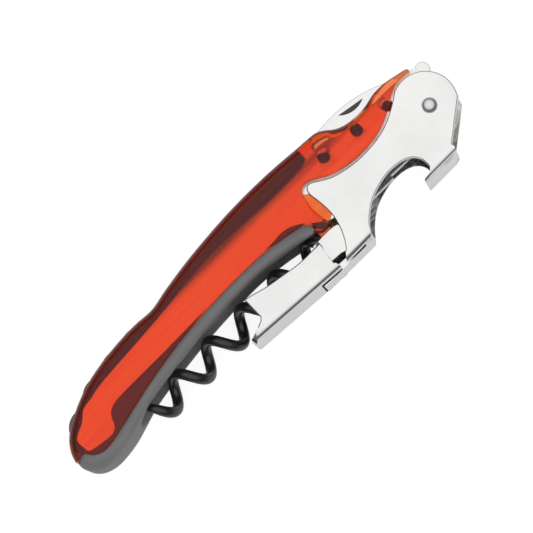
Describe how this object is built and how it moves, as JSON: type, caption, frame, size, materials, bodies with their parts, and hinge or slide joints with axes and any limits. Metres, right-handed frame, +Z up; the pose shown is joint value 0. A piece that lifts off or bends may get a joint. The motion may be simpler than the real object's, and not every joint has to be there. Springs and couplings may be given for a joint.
{
  "type": "waiters corkscrew",
  "caption": "Folding waiter's corkscrew with a hinged double lever, a coated worm, a foil knife, a crown-cap hook and translucent side scales.",
  "frame": {"origin": "middle of the closed object's underside, as it lies on its side scale", "axes": "+X along the handle towards the head, +Y from the worm side to the spine, +Z up through the thickness"},
  "size_m": [0.1178, 0.0271, 0.0144],
  "materials": {
    "core_plastic": "fine moulded texture, satin grey",
    "frame_steel": "bright stamped sheet",
    "scale_plastic": "polished translucent red-orange plastic",
    "pin_plastic": "moulded",
    "rivet_steel": "polished, with a dished end",
    "spacer_plastic": "moulded",
    "spring_steel": "tempered strip",
    "lever_chrome": "polished plating on stamped sheet",
    "worm_coating": "black low-friction coating, satin gloss",
    "hub_steel": "dark turned steel",
    "blade_steel": "ground and polished"
  },
  "bodies": {
    "root": {"grip_core": "core_plastic", "frame_plate_left": "frame_steel", "frame_plate_right": "frame_steel", "scale_left": "scale_plastic", "scale_right": "scale_plastic", "scale_pins_left": "pin_plastic", "scale_pins_right": "pin_plastic", "head_rivet": "rivet_steel", "knife_spacer_left": "spacer_plastic", "knife_spacer_right": "spacer_plastic", "worm_pin": "rivet_steel", "back_spring": "spring_steel"},
    "lever": {"lever_upper_arm": "lever_chrome", "arm_pin": "rivet_steel"},
    "lower_arm": {"lever_lower_arm": "lever_chrome"},
    "worm_body": {"worm": "worm_coating", "worm_hub": "hub_steel"},
    "knife": {"knife_blade": "blade_steel"}
  },
  "joints": [
    {"name": "lever_hinge", "type": "hinge", "parent": "root", "child": "lever", "pos_m": [0.05195, -0.0018, 0.0072], "axis": [0, 0, 1], "range_deg": [0, 100]},
    {"name": "lower_arm_hinge", "type": "hinge", "parent": "lever", "child": "lower_arm", "pos_m": [0.01945, -0.0098, 0.0072], "axis": [0, 0, 1], "range_deg": [0, 60]},
    {"name": "worm_hinge", "type": "hinge", "parent": "root", "child": "worm_body", "pos_m": [0.02795, -0.0026, 0.0072], "axis": [0, 0, 1], "range_deg": [0, 90]},
    {"name": "knife_hinge", "type": "hinge", "parent": "root", "child": "knife", "pos_m": [0.05195, -0.0018, 0.0072], "axis": [0, 0, -1], "range_deg": [0, 97]}
  ],
  "couplings": [
    {"joint": "worm_hinge", "follows": "lever_hinge", "ratio": 0.9}
  ]
}
